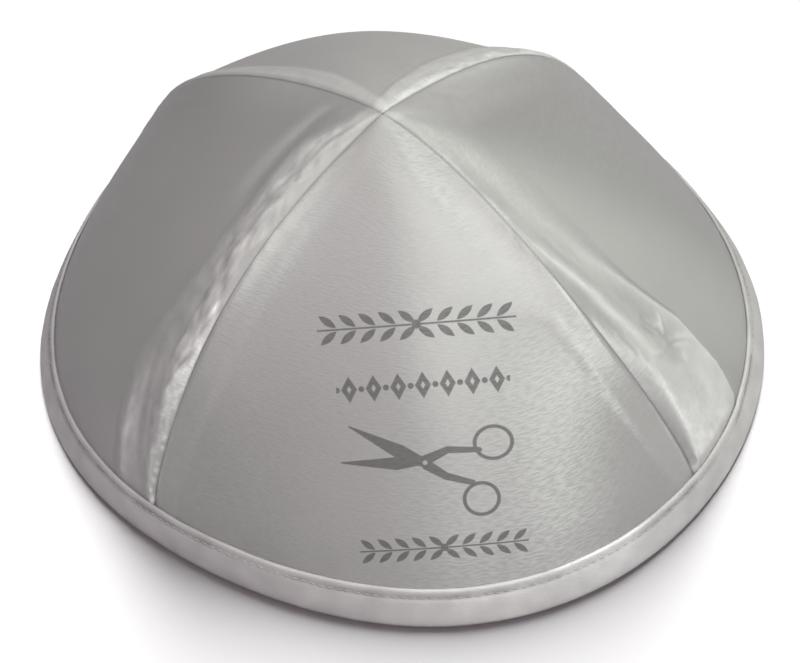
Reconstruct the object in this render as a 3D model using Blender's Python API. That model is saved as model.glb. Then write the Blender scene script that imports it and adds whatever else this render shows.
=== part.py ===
"""Kippah skullcap: four satin gores sewn to a point and a bias binding folded over their lower edge.

Metres, +Z up, resting on its rim at z = 0, with the front gore towards -Y.
The cap's wall is one worked-out surface. A curve stands in the upright plane of each seam, a lower
curve stands in the middle of each gore, and between the two the wall stays nearly flat across, as
cloth does when its seams hold it up. Every piece is a layer of that wall: a point is given by its
azimuth, its length up the wall from the rim and its depth below the wall's outer skin.
"""
import functools
import math

import bpy
import numpy as np
from mathutils import Matrix

MM = 0.001

# The whole cap
RIM_DIAMETER = 172.0 * MM
CAP_HEIGHT = 70.7 * MM
RIM_RADIUS = RIM_DIAMETER / 2

# The peak's place off the middle of the rim, towards +X and +Y, as shares of the rim radius
PEAK_SHIFT = (0.008, -0.008)

# How the soft rim strays from a circle:
# times round, cosine part and sine part as shares of the rim radius
RIM_WAVES = (
    (2, -0.001, -0.038),
    (3, -0.001, -0.021),
    (4, 0.013, 0.009),
)

# Handles of the wall curves, each a cubic from the rim to the peak: distance from the axis and
# height of the lower handle and then of the upper one, as shares of rim radius and cap height
SEAM_CURVE = (0.776, 0.706, 0.517, 0.930)
MIDDLE_CURVE = (0.997, 0.085, 0.459, 0.994)

# Seams: name, azimuth at the rim and sideways bow halfway up, in degrees
SEAMS = (
    ("front_left", 224.0, 0.5),
    ("front_right", 318.4, -6.1),
    ("back_right", 401.1, -0.5),
    ("back_left", 496.2, 5.3),
)

# Cloth
GAP = 0.3 * MM
GORE_WALL = 1.2 * MM
BINDING_WALL = 1.0 * MM
BINDING_HEIGHT = 10.5 * MM
SEAM_ALLOWANCE = 11.5 * MM
BAND_RISE = 0.7 * MM
SEAM_DIP = 0.25 * MM
SEAM_DIP_WIDTH = 2.0 * MM
TIP_RADIUS = 3 * GAP
PULL_IN_LENGTH = 6.0 * MM
LEVEL_LENGTH = 8.0 * MM

# Raised bands where the seam allowances lie under the cloth: name, width at the rim, at the bend
# and at the peak as shares of the seam allowance, rise as a share of the band rise
BANDS = {
    "flat": (0.65, 0.60, 0.52, 0.35),
    "fold": (1.00, 0.92, 0.80, 1.00),
    "wide": (1.90, 2.00, 0.80, 1.40),
}
BAND_BEND = 1 / 3  # share of the way up the wall

# Where a band dies out: down from the peak as shares of the seam allowance, and up from the
# binding's edge as shares of the length over which the gore swells out above it
PEAK_FADE = (0.35, 1.9)
RIM_FADE = (-0.2, 0.7)

# Gores: name, its first seam, band beside that seam, band beside the next seam
GORES = (
    ("panel_front", "front_left", "flat", "flat"),
    ("panel_right", "front_right", "wide", "flat"),
    ("panel_back", "back_right", "fold", "fold"),
    ("panel_left", "back_left", "flat", "fold"),
)

# Depths of the layers in the binding, and where the gores' lower edge stops above its fold
GORE_DEPTH = BINDING_WALL + GAP
INNER_DEPTH = GORE_DEPTH + GORE_WALL + GAP
RIM_DEPTH = INNER_DEPTH + BINDING_WALL
FOLD_FLOOR = 1.4 * BINDING_WALL
GORE_START = FOLD_FLOOR + GAP

# Mesh density: columns of a band as shares of its width from the seam, rows of a gore as shares
# of the stretch under the binding and of the stretch where the gore swells out above it
BAND_COLUMNS = (0.0, 0.14, 0.4, 0.75, 0.95, 1.12, 1.4)
MIDDLE_COLUMNS = 10
BOUND_ROWS = (0.0, 0.36, 0.70, 0.98)
SWELL_ROWS = (0.20, 0.57, 1.08, 1.75)
UPPER_ROWS = 12
BINDING_STEPS = 28  # for each gore, so that the seams fall on a step
CURVE_STEPS = 160

LOW_ROWS = tuple(GORE_START + share * (BINDING_HEIGHT - GORE_START) for share in BOUND_ROWS)
LOW_ROWS += tuple(BINDING_HEIGHT + share * PULL_IN_LENGTH for share in SWELL_ROWS)

SATIN = (0.80, 0.79, 0.78, 1.0)
SATIN_ROUGHNESS = 0.45


def ease(low, high, value):
    """0 below low, 1 above high and a smooth step between."""
    part = min(max((value - low) / (high - low), 0.0), 1.0)
    return part * part * (3.0 - 2.0 * part)


def cubic(handles):
    """Radius and height along one wall curve, from the rim to the peak."""
    low_out, low_up, top_out, top_up = handles
    t = np.linspace(0.0, 1.0, CURVE_STEPS + 1)
    weights = ((1 - t) ** 3, 3 * t * (1 - t) ** 2, 3 * t * t * (1 - t), t ** 3)
    radii = (1.0, low_out, top_out, 0.0)
    heights = (0.0, low_up, top_up, 1.0)
    return (
        RIM_RADIUS * sum(weight * radius for weight, radius in zip(weights, radii)),
        CAP_HEIGHT * sum(weight * height for weight, height in zip(weights, heights)),
    )


SEAM_R, SEAM_Z = cubic(SEAM_CURVE)
MIDDLE_R, MIDDLE_Z = cubic(MIDDLE_CURVE)


def seam_after(place):
    """Azimuth and bow of a seam, counted round and round, in degrees."""
    turns, index = divmod(place, len(SEAMS))
    return SEAMS[index][1] + 360.0 * turns, SEAMS[index][2]


@functools.lru_cache(maxsize=None)
def wall_curve(azimuth):
    """The wall's outer skin above one point of the rim, as arrays along the curve."""
    place = 0
    degrees = math.degrees(azimuth)
    while degrees > seam_after(place + 1)[0]:
        place += 1
    while degrees < seam_after(place)[0]:
        place -= 1
    (start, start_bow), (end, end_bow) = seam_after(place), seam_after(place + 1)
    part = (degrees - start) / (end - start)
    # A flat gore held up by its seams: 0 in its middle and 1 at the seams
    seam_share = (1.0 / math.cos(math.radians(90.0 * part - 45.0)) - 1.0) / (math.sqrt(2.0) - 1.0)
    radius = MIDDLE_R + (SEAM_R - MIDDLE_R) * seam_share
    height = MIDDLE_Z + (SEAM_Z - MIDDLE_Z) * seam_share
    inward = 1.0 - radius / RIM_RADIUS
    bow = math.radians(start_bow + (end_bow - start_bow) * part)
    turn = azimuth + bow * np.sin(math.pi * np.clip(inward, 0.0, 1.0))
    wave = 1.0
    for times, cosine_part, sine_part in RIM_WAVES:
        wave += cosine_part * math.cos(times * azimuth) + sine_part * math.sin(times * azimuth)
    radius = radius * wave
    along_r, along_z = np.gradient(radius), np.gradient(height)
    step = np.hypot(np.diff(radius), np.diff(height))
    length = np.concatenate([[0.0], np.cumsum(step)])
    slope = np.hypot(along_r, along_z)
    return length, radius, height, turn, inward, along_z / slope, -along_r / slope


def wall_length(azimuth):
    """Length of the wall from the rim to the ring where the gore tips end."""
    length, radius = wall_curve(azimuth)[:2]
    return float(np.interp(-TIP_RADIUS, -radius, length))


def wall_point(azimuth, along, depth):
    """A point of the cloth: azimuth, length up the wall and depth below the outer skin."""
    length, *arrays = wall_curve(azimuth)
    radius, height, turn, inward, out, up = (float(np.interp(along, length, a)) for a in arrays)
    # The layers lie level at the rim, so that the fold rests flat
    tilt = ease(0.0, LEVEL_LENGTH, along)
    out, up = (1.0 - tilt) + tilt * out, tilt * up
    size = math.hypot(out, up)
    radius -= depth * out / size
    height -= depth * up / size
    return (
        radius * math.cos(turn) + PEAK_SHIFT[0] * RIM_RADIUS * inward,
        radius * math.sin(turn) + PEAK_SHIFT[1] * RIM_RADIUS * inward,
        height,
    )


def band_width(band, along, full):
    """A band's width at a length up the wall."""
    widths = BANDS[band][:3]
    return SEAM_ALLOWANCE * float(np.interp(along / full, (0.0, BAND_BEND, 1.0), widths))


def band_rise(band, share):
    """How far a band lifts the cloth, at a share of its width from the seam."""
    return BAND_RISE * BANDS[band][3] * ease(0.0, 0.3, share) * (1.0 - ease(0.8, 1.15, share))


def gore_columns(place, bands, along, full, part):
    """Azimuth and lift of each column of a gore, in one row."""
    start = math.radians(seam_after(place)[0])
    end = math.radians(seam_after(place + 1)[0])
    own = along + part * (wall_length(start) - full)
    radius = float(np.interp(own, *wall_curve(start)[:2]))
    span = (end - start) * radius
    widths = [band_width(band, along, full) for band in bands]
    squeeze = min(1.0, 0.42 * span / (max(widths) * BAND_COLUMNS[-1]))
    near_peak = ease(*(share * SEAM_ALLOWANCE for share in PEAK_FADE), full - along)
    above_binding = ease(*(share * PULL_IN_LENGTH for share in RIM_FADE), along - BINDING_HEIGHT)
    sides = []
    for band, width in zip(bands, widths):
        side = []
        for share in BAND_COLUMNS:
            away = GAP / 2 + share * width * squeeze
            lift = band_rise(band, share) * near_peak * above_binding
            dip = SEAM_DIP * (1.0 - ease(0.0, SEAM_DIP_WIDTH, away - GAP / 2))
            side.append((away / radius, lift - dip))
        sides.append(side)
    first, last = sides[0][-1][0], sides[1][-1][0]
    columns = [(start + away, lift) for away, lift in sides[0]]
    for step in range(1, MIDDLE_COLUMNS + 1):
        part = step / (MIDDLE_COLUMNS + 1)
        columns.append((start + first + part * (end - start - first - last), 0.0))
    columns += [(end - away, lift) for away, lift in reversed(sides[1])]
    return columns


def gore_grid(place, bands):
    """Outer and inner points of a gore, row by row from the lower edge to the tip."""
    middle = math.radians((seam_after(place)[0] + seam_after(place + 1)[0]) / 2)
    full = wall_length(middle)
    outer, inner = [], []
    for row in range(len(LOW_ROWS) + UPPER_ROWS):
        if row < len(LOW_ROWS):
            part = 0.0
            along = LOW_ROWS[row]
        else:
            part = (row + 1 - len(LOW_ROWS)) / UPPER_ROWS
            along = LOW_ROWS[-1] + (full - LOW_ROWS[-1]) * part
        pulled_in = GORE_DEPTH * (1.0 - ease(BINDING_HEIGHT, BINDING_HEIGHT + PULL_IN_LENGTH, along))
        for azimuth, lift in gore_columns(place, bands, along, full, part):
            # Rows end together on the tip ring, whatever the curve's own length
            own = along + part * (wall_length(azimuth) - full)
            outer.append(wall_point(azimuth, own, pulled_in - lift))
            inner.append(wall_point(azimuth, own, pulled_in + GORE_WALL))
    return outer, inner


def new_object(name, points, faces, group):
    mesh = bpy.data.meshes.new(name)
    mesh.from_pydata(points, [], faces)
    mesh.validate()
    mesh.polygons.foreach_set("use_smooth", [True] * len(mesh.polygons))
    material = bpy.data.materials.new(name)
    material.use_nodes = True
    shader = material.node_tree.nodes["Principled BSDF"]
    shader.inputs["Base Color"].default_value = SATIN
    shader.inputs["Roughness"].default_value = SATIN_ROUGHNESS
    mesh.materials.append(material)
    piece = bpy.data.objects.new(name, mesh)
    group.objects.link(piece)
    return piece


def make_gore(name, place, bands, group):
    """A closed shell: the outer grid, the inner grid and the cut edge between them."""
    outer, inner = gore_grid(place, bands)
    rows = len(LOW_ROWS) + UPPER_ROWS
    columns = len(outer) // rows
    back = len(outer)
    faces = []
    for row in range(rows - 1):
        for column in range(columns - 1):
            a = row * columns + column
            b, c, d = a + 1, a + columns + 1, a + columns
            faces.append((a, b, c, d))
            faces.append((back + d, back + c, back + b, back + a))
    edge = list(range(columns))
    edge += [row * columns + columns - 1 for row in range(1, rows)]
    edge += [(rows - 1) * columns + column for column in range(columns - 2, -1, -1)]
    edge += [row * columns for row in range(rows - 2, 0, -1)]
    for this, following in zip(edge, edge[1:] + edge[:1]):
        faces.append((following, this, back + this, back + following))
    return new_object(name, outer + inner, faces, group)


def make_binding(name, group):
    """The folded band: one U-shaped section of length up the wall and depth, carried round the rim."""
    top, half, corner = BINDING_HEIGHT, 0.52 * BINDING_HEIGHT, 0.9 * BINDING_WALL
    section = (
        (0.0, corner),
        (corner, 0.0),
        (half, -0.1 * BINDING_WALL),
        (top - 1.1 * BINDING_WALL, -0.15 * BINDING_WALL),
        (top - 0.2 * BINDING_WALL, 0.1 * BINDING_WALL),
        (top, 0.5 * BINDING_WALL),
        (top - 0.3 * BINDING_WALL, 0.9 * BINDING_WALL),
        (half, BINDING_WALL),
        (FOLD_FLOOR, BINDING_WALL),
        (FOLD_FLOOR, INNER_DEPTH),
        (half, INNER_DEPTH),
        (top - 0.6 * BINDING_WALL, INNER_DEPTH + 0.1 * BINDING_WALL),
        (top - 0.3 * BINDING_WALL, INNER_DEPTH + 0.5 * BINDING_WALL),
        (top - 0.6 * BINDING_WALL, RIM_DEPTH),
        (corner, RIM_DEPTH),
        (0.0, RIM_DEPTH - corner),
    )
    count = len(section)
    points = []
    for place in range(len(SEAMS)):
        start, end = seam_after(place)[0], seam_after(place + 1)[0]
        for step in range(BINDING_STEPS):
            azimuth = math.radians(start + (end - start) * step / BINDING_STEPS)
            points += [wall_point(azimuth, along, depth) for along, depth in section]
    faces = []
    steps = BINDING_STEPS * len(SEAMS)
    for step in range(steps):
        here = step * count
        there = (step + 1) % steps * count
        for this in range(count):
            following = (this + 1) % count
            faces.append((here + this, there + this, there + following, here + following))
    return new_object(name, points, faces, group)


def centre_on_rim(pieces, rim):
    """Move the cap so that the origin lies under the middle of its rim."""
    points = np.array([vertex.co for vertex in rim.data.vertices])
    middle = (points.min(axis=0) + points.max(axis=0)) / 2
    shift = Matrix.Translation((-middle[0], -middle[1], 0.0))
    for piece in pieces:
        piece.data.transform(shift)


for old in list(bpy.data.objects):
    bpy.data.objects.remove(old)

cap = bpy.data.collections.new("kippah_skullcap")
bpy.context.scene.collection.children.link(cap)

seam_names = [seam[0] for seam in SEAMS]
for gore_name, first_seam, first_band, next_band in GORES:
    make_gore(gore_name, seam_names.index(first_seam), (first_band, next_band), cap)
binding = make_binding("rim_binding", cap)
centre_on_rim(cap.objects, binding)
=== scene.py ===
# %% [markdown]
# A white satin kippah: four cloth gores sewn to a point, and a bias binding folded over their
# lower edge and held by one row of machine stitches. This lesson dresses it in Blender.
# The cap's solids are loaded first. They say how big each piece is and where it lies, so every
# new piece below is laid on them and then stands for them.

# %% Load the cap's solids
import math

import bpy
import numpy as np
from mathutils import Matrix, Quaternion, Vector, noise


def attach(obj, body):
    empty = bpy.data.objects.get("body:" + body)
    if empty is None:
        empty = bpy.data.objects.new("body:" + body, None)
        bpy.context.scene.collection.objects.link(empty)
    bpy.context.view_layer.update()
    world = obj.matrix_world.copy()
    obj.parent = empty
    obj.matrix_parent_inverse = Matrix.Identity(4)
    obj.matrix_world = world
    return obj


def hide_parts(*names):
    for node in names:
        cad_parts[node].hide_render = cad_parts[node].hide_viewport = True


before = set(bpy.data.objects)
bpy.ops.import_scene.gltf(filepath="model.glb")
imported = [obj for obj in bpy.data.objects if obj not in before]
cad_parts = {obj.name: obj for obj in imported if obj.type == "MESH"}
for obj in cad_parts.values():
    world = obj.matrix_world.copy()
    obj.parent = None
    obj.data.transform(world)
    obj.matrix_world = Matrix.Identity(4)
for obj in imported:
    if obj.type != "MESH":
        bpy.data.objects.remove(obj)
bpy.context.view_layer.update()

MM = 0.001
print("the solids are", ", ".join(sorted(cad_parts)))


# %% [markdown]
# The cloth lies on one worked-out wall. A curve stands over each seam and a lower one over the
# middle of each gore, because seams hold cloth up and it sags between them. A point of the cloth
# is then its azimuth round the rim, its length up the wall and its depth below the outer skin.
# Sculpting by hand could give the same dome, but a formula keeps its size, and lets a fold be
# placed by how far it lies from a seam, which is how a maker would say it.

# %% The wall of the cap
RIM_RADIUS = 86.0 * MM
CAP_HEIGHT = 70.7 * MM
PEAK_SHIFT = (0.008, -0.008)  # off the middle of the rim, as shares of the rim radius
RIM_MIDDLE = (-0.08 * MM, -1.70 * MM)

# Times round, cosine part and sine part, as shares of the rim radius
RIM_WAVES = (
    (2, -0.001, -0.038),
    (3, -0.001, -0.021),
    (4, 0.013, 0.009),
)

# Lower handle's distance out and height, then the upper one's, as shares of radius and height
SEAM_CURVE = (0.776, 0.706, 0.517, 0.930)
MIDDLE_CURVE = (0.997, 0.085, 0.459, 0.994)

# Azimuth at the rim and sideways bow halfway up, in degrees
SEAMS = {
    "front_left": (224.0, 0.5),
    "front_right": (318.4, -6.1),
    "back_right": (401.1, -0.5),
    "back_left": (496.2, 5.3),
}
CURVE_STEPS = 160
LEVEL_LENGTH = 8.0 * MM


def ease(low, high, value):
    """0 below low, 1 above high and a smooth step between."""
    part = np.clip((value - low) / (high - low), 0.0, 1.0)
    return part * part * (3.0 - 2.0 * part)


def cubic(handles):
    """Radius and height along one wall curve, from the rim to the peak."""
    low_out, low_up, top_out, top_up = handles
    t = np.linspace(0.0, 1.0, CURVE_STEPS + 1)
    weights = ((1 - t) ** 3, 3 * t * (1 - t) ** 2, 3 * t * t * (1 - t), t ** 3)
    radii = (1.0, low_out, top_out, 0.0)
    heights = (0.0, low_up, top_up, 1.0)
    return (
        RIM_RADIUS * sum(weight * radius for weight, radius in zip(weights, radii)),
        CAP_HEIGHT * sum(weight * height for weight, height in zip(weights, heights)),
    )


SEAM_R, SEAM_Z = cubic(SEAM_CURVE)
MIDDLE_R, MIDDLE_Z = cubic(MIDDLE_CURVE)


def seam_after(place):
    """Azimuth and bow of a seam, counted round and round, in degrees."""
    turns, index = divmod(place, len(SEAMS))
    azimuth, bow = tuple(SEAMS.values())[index]
    return azimuth + 360.0 * turns, bow


def wall_curve(azimuth):
    """The wall's outer skin above one point of the rim, as arrays along the curve."""
    place = 0
    degrees = math.degrees(azimuth)
    while degrees > seam_after(place + 1)[0]:
        place += 1
    while degrees < seam_after(place)[0]:
        place -= 1
    (start, start_bow), (end, end_bow) = seam_after(place), seam_after(place + 1)
    part = (degrees - start) / (end - start)
    # A gore held up by its seams: 0 in its middle and 1 at the seams
    seam_share = (1.0 / math.cos(math.radians(90.0 * part - 45.0)) - 1.0) / (math.sqrt(2.0) - 1.0)
    radius = MIDDLE_R + (SEAM_R - MIDDLE_R) * seam_share
    height = MIDDLE_Z + (SEAM_Z - MIDDLE_Z) * seam_share
    inward = 1.0 - radius / RIM_RADIUS
    bow = math.radians(start_bow + (end_bow - start_bow) * part)
    turn = azimuth + bow * np.sin(math.pi * np.clip(inward, 0.0, 1.0))
    wave = 1.0
    for times, cosine_part, sine_part in RIM_WAVES:
        wave += cosine_part * math.cos(times * azimuth) + sine_part * math.sin(times * azimuth)
    radius = radius * wave
    along_r, along_z = np.gradient(radius), np.gradient(height)
    step = np.hypot(np.diff(radius), np.diff(height))
    length = np.concatenate([[0.0], np.cumsum(step)])
    slope = np.hypot(along_r, along_z)
    return length, radius, height, turn, inward, along_z / slope, -along_r / slope


def wall_points(azimuth, along, depth):
    """Points of the cloth over one azimuth: lengths up the wall and depths below the skin."""
    length, *arrays = wall_curve(azimuth)
    radius, height, turn, inward, out, up = (np.interp(along, length, a) for a in arrays)
    tilt = ease(0.0, LEVEL_LENGTH, along)
    out, up = (1.0 - tilt) + tilt * out, tilt * up
    size = np.hypot(out, up)
    radius = radius - depth * out / size
    height = height - depth * up / size
    x = radius * np.cos(turn) + PEAK_SHIFT[0] * RIM_RADIUS * inward + RIM_MIDDLE[0]
    y = radius * np.sin(turn) + PEAK_SHIFT[1] * RIM_RADIUS * inward + RIM_MIDDLE[1]
    return np.stack([x, y, height], axis=-1)


for seam, (azimuth, _bow) in SEAMS.items():
    print(seam, "seam is", round(wall_curve(math.radians(azimuth))[0][-1] / MM, 1), "mm long")


# %% [markdown]
# Cloth is never as smooth as the wall. Inside the cap the seam allowances are pressed to one
# side, and outside they show as raised bands beside the seams. A band is drawn here by its cross
# section: it rolls up out of the seam, has two crests with a hollow between them, and ends in an
# edge. A few stations up the wall say how that section changes, and everything between them is
# interpolated. This gives better control than a displacement picture, and needs no picture.

# %% Cross sections of the bands beside the seams
# Length up the wall, inner crest's distance from the seam and height, height of the hollow,
# outer crest's distance and height, distance of the edge, all in millimetres
BANDS = {
    "broad": (
        (10.0, 1.6, 0.80, 0.95, 20.4, 1.30, 22.2),
        (24.0, 3.6, 1.20, 1.10, 22.0, 1.50, 23.6),
        (38.0, 6.4, 1.45, 0.80, 21.8, 1.40, 23.4),
        (52.0, 7.2, 1.40, 0.50, 18.2, 1.00, 20.4),
        (62.0, 5.8, 1.05, 0.55, 14.0, 0.50, 19.0),
        (71.0, 3.8, 0.75, 0.40, 11.0, 0.30, 18.0),
        (80.0, 1.8, 0.24, 0.16, 9.0, 0.16, 17.0),
        (98.0, 1.2, 0.06, 0.06, 6.4, 0.10, 14.0),
        (112.0, 0.9, 0.02, 0.02, 3.4, 0.04, 8.0),
    ),
    "puffed": (
        (10.0, 2.6, 0.45, 0.35, 10.4, 0.50, 13.6),
        (26.0, 3.2, 0.65, 0.35, 13.0, 0.55, 17.0),
        (38.0, 4.2, 1.10, 0.40, 15.4, 0.50, 19.6),
        (52.0, 5.0, 1.45, 0.55, 13.2, 0.45, 18.4),
        (70.0, 5.2, 1.40, 0.80, 10.6, 0.70, 15.0),
        (85.0, 4.8, 1.15, 0.80, 9.0, 0.75, 12.8),
        (98.0, 3.6, 0.80, 0.65, 7.4, 0.65, 11.4),
        (112.0, 1.8, 0.30, 0.25, 4.0, 0.25, 6.4),
    ),
    "pressed": (
        (10.0, 3.4, 0.90, 0.85, 9.6, 0.90, 12.4),
        (58.0, 4.6, 1.30, 1.15, 10.6, 1.00, 13.6),
        (80.0, 4.0, 1.05, 0.95, 8.0, 0.80, 11.0),
        (98.0, 2.8, 0.65, 0.60, 5.4, 0.50, 8.0),
        (112.0, 1.4, 0.20, 0.18, 3.4, 0.15, 5.0),
    ),
    "turned": (
        (10.0, 2.0, 0.40, 0.40, 6.6, 0.45, 8.6),
        (98.0, 1.8, 0.40, 0.35, 5.0, 0.35, 7.4),
        (112.0, 1.0, 0.15, 0.12, 3.0, 0.10, 4.6),
    ),
    "plain": (
        (10.0, 1.2, 0.08, 0.08, 5.2, 0.12, 7.0),
        (60.0, 1.2, 0.06, 0.06, 5.0, 0.08, 8.0),
        (98.0, 1.0, 0.04, 0.04, 4.2, 0.06, 8.0),
        (112.0, 0.8, 0.03, 0.03, 2.4, 0.03, 5.0),
    ),
    "faint": (
        (10.0, 1.2, 0.08, 0.08, 5.2, 0.10, 8.0),
        (60.0, 1.2, 0.05, 0.05, 7.0, 0.06, 12.0),
        (98.0, 1.0, 0.03, 0.03, 8.0, 0.04, 18.0),
        (112.0, 0.8, 0.02, 0.02, 3.0, 0.02, 6.0),
    ),
    "drawn": (
        (10.0, 1.2, 0.10, 0.12, 5.8, 0.20, 7.6),
        (62.0, 1.2, 0.08, 0.10, 6.0, 0.20, 8.4),
        (76.0, 1.2, 0.00, 0.00, 10.0, 0.10, 24.0),
        (100.0, 1.0, 0.00, 0.00, 8.6, 0.15, 19.0),
        (112.0, 0.8, 0.00, 0.00, 3.6, 0.08, 8.0),
    ),
}
# Length up the wall and how deep the seam lies below the cloth beside it, in millimetres
SEAM_DIPS = ((10.0, 0.30), (58.0, 0.20), (80.0, 0.07), (112.0, 0.05))
SEAM_SHADE = 0.55  # how much of the cloth's tone is lost in the crease of a seam
CREASE_WIDTH = 0.55 * MM
FIRST_STEEPNESS = 1.6  # power of the first step out of the seam
BACKING_START = 0.5  # where the layers begin, as a share of the inner crest's distance

# How many layers lie under the satin, from 0 for one to 1 for the most, at the lengths up the
# wall and at the seam, the inner crest, the hollow and the outer crest. More layers look whiter,
# and the values also hold a painted highlight on the bands.
LAYERS_AND_HIGHLIGHT = {
    "broad": (
        (10.0, 0.05, 0.85, 1.00, 1.00),
        (28.0, 0.05, 0.90, 0.90, 1.00),
        (40.0, 0.05, 0.85, 0.10, 0.80),
        (54.0, 0.10, 0.85, 0.10, 0.50),
        (72.0, 0.20, 0.85, 0.30, 0.35),
        (86.0, 0.40, 0.50, 0.35, 0.30),
        (112.0, 0.30, 0.40, 0.35, 0.30),
    ),
    "puffed": (
        (10.0, 0.15, 0.05, 0.10, 0.25),
        (28.0, 0.20, 0.05, 0.20, 0.30),
        (40.0, 0.70, 0.45, 0.40, 0.30),
        (54.0, 1.00, 0.90, 0.30, 0.20),
        (72.0, 1.00, 1.00, 0.65, 0.50),
        (90.0, 0.80, 0.80, 0.70, 0.60),
        (112.0, 0.50, 0.50, 0.50, 0.50),
    ),
    "pressed": (
        (10.0, 0.30, 0.62, 0.62, 0.52),
        (80.0, 0.30, 0.60, 0.60, 0.50),
        (112.0, 0.25, 0.50, 0.50, 0.40),
    ),
    "turned": ((10.0, 0.25, 0.35, 0.35, 0.35), (112.0, 0.25, 0.35, 0.35, 0.35)),
    "plain": (
        (10.0, 0.10, 0.12, 0.12, 0.12),
        (60.0, 0.00, 0.00, 0.00, 0.00),
        (112.0, 0.05, 0.05, 0.05, 0.05),
    ),
    "faint": (
        (10.0, 0.10, 0.12, 0.12, 0.10),
        (60.0, 0.10, 0.10, 0.08, 0.05),
        (96.0, 0.55, 0.62, 0.55, 0.40),
        (112.0, 0.45, 0.50, 0.50, 0.50),
    ),
    "drawn": (
        (10.0, 0.10, 0.15, 0.15, 0.15),
        (60.0, 0.10, 0.15, 0.15, 0.15),
        (76.0, 0.10, 0.12, 0.25, 0.15),
        (112.0, 0.10, 0.15, 0.25, 0.10),
    ),
}


def stations_at(table, along):
    """Every column of a table of stations, interpolated at lengths up the wall."""
    stations = np.array(table)
    return [np.interp(along, stations[:, 0] * MM, column) for column in stations.T[1:]]


def across_band(places, values, away):
    """Smooth steps from value to value across a band, where the first step starts steeply."""
    result = values[0]
    for index in range(1, len(places)):
        if index == 1:
            step = 1.0 - (1.0 - np.clip(away / places[1], 0.0, 1.0)) ** FIRST_STEEPNESS
        else:
            step = ease(places[index - 1], places[index], away)
        result = result + (values[index] - values[index - 1]) * step
    return result


def seam_depth(along):
    return stations_at(SEAM_DIPS, along)[0] * MM


def band_lift(kind, away, along):
    """Lift of the cloth at a distance from the seam, for arrays of points."""
    numbers = [value * MM for value in stations_at(BANDS[kind], along)]
    first, first_lift, hollow_lift, last, last_lift, edge = numbers
    nothing = 0.0 * first
    places = (nothing, first, (first + last) / 2, last, edge)
    lifts = (-seam_depth(along), first_lift, hollow_lift, last_lift, nothing)
    return across_band(places, lifts, away)


def band_layers_and_highlight(kind, away, along):
    """Share of layers under the cloth with a painted highlight on the band, at a distance from the
    seam, for arrays of points.
    """
    first, _, _, last, _, edge = (value * MM for value in stations_at(BANDS[kind], along))
    shares = (*stations_at(LAYERS_AND_HIGHLIGHT[kind], along), 0.0 * first)
    starts = (BACKING_START * first, first, (first + last) / 2, last)
    ends = (first, (first + last) / 2, last, edge)
    tone_and_painted_light = shares[0]
    for index, (start, end) in enumerate(zip(starts, ends)):
        tone_and_painted_light = tone_and_painted_light + (shares[index + 1] - shares[index]) * ease(start, end, away)
    return tone_and_painted_light


for kind, stations in BANDS.items():
    print(kind, "band:", stations[0][-1], "mm wide at the binding")


# %% [markdown]
# Single folds and creases are laid over the bands, each as a line from one point to another with
# a soft round section. They are given by their distance from a seam and their length up the wall.
# On the real cap they come from handling: the allowances bunch up under the satin.

# %% Folds and creases
# For a gore and the seam that distances are taken from: distance and length up the wall where
# each fold starts and where it ends, width and height, all in millimetres
FOLDS = {
    ("panel_left", "front_left"): (
        (15.4, 36.0, 10.4, 13.0, 1.4, 0.26),
        (12.4, 44.0, 8.2, 26.0, 1.7, -0.26),
        (9.4, 40.0, 5.4, 20.0, 1.5, 0.18),
        (13.8, 62.0, 16.0, 46.0, 1.8, 0.20),
        (12.6, 104.0, 15.4, 82.0, 2.6, -0.45),
        (0.8, 10.0, 0.7, 14.5, 0.8, 0.35),
    ),
    ("panel_right", "front_right"): (
        (7.4, 41.0, 14.0, 38.6, 0.9, 0.32),
        (14.0, 38.6, 19.4, 44.6, 0.7, 0.34),
        (14.6, 38.6, 20.6, 33.4, 0.8, 0.30),
        (12.2, 47.0, 14.6, 42.6, 1.3, -0.35),
        (10.6, 35.4, 15.6, 32.4, 1.5, -0.30),
        (22.0, 10.0, 23.0, 17.0, 0.9, 0.40),
        (1.4, 10.0, 1.6, 15.0, 0.7, 0.35),
    ),
}
FOLD_FADE = 0.25  # how far each end fades in and out, as a share of the fold's length


def fold_lift(fold, away, along):
    """Lift of one fold: a round ridge, or a hollow where its height is below 0."""
    start_away, start_up, end_away, end_up, width, height = (value * MM for value in fold)
    run_away, run_up = end_away - start_away, end_up - start_up
    run = math.hypot(run_away, run_up)
    part = ((away - start_away) * run_away + (along - start_up) * run_up) / (run * run)
    beside = ((away - start_away) * run_up - (along - start_up) * run_away) / run
    ends = ease(-FOLD_FADE, FOLD_FADE, part)
    ends *= 1.0 - ease(1.0 - FOLD_FADE, 1.0 + FOLD_FADE, part)
    return height * ends * np.exp(-((beside / width) ** 2))


for (gore, seam), folds in FOLDS.items():
    longest = max(math.dist(fold[0:2], fold[2:4]) for fold in folds)
    print(gore, "has", len(folds), "folds by", seam, "and the longest is", round(longest), "mm")


# %% [markdown]
# Then the cloth's own unevenness: broad soft waves, small gathers where the binding holds the
# gore in, and puckers beside the seams where each stitch draws the cloth. The bands are uneven
# too: they wander, swell and crumple, the puffed one most of all. Blender's noise gives the same
# value for the same place each time, so the cap comes out alike on every run.

# %% Waves, gathers and puckers
WAVE_LENGTH = 34.0 * MM
WAVE_LIFT = 0.34 * MM
GATHER_LENGTH = 6.5 * MM
GATHER_HEIGHT = 3.0 * GATHER_LENGTH
GATHER_LIFT = 0.16 * MM
GATHER_REACH = 7.0 * MM
PUCKER_LENGTH = 3.2 * MM
PUCKER_ACROSS = 2.0 * PUCKER_LENGTH
PUCKER_LIFT = 0.20 * MM
PUCKER_REACH = 2.2 * MM
PUCKER_START = 0.6 * PUCKER_REACH
SEAM_HOLD = 9.0 * MM
BINDING_HEIGHT = 10.5 * MM

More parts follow.
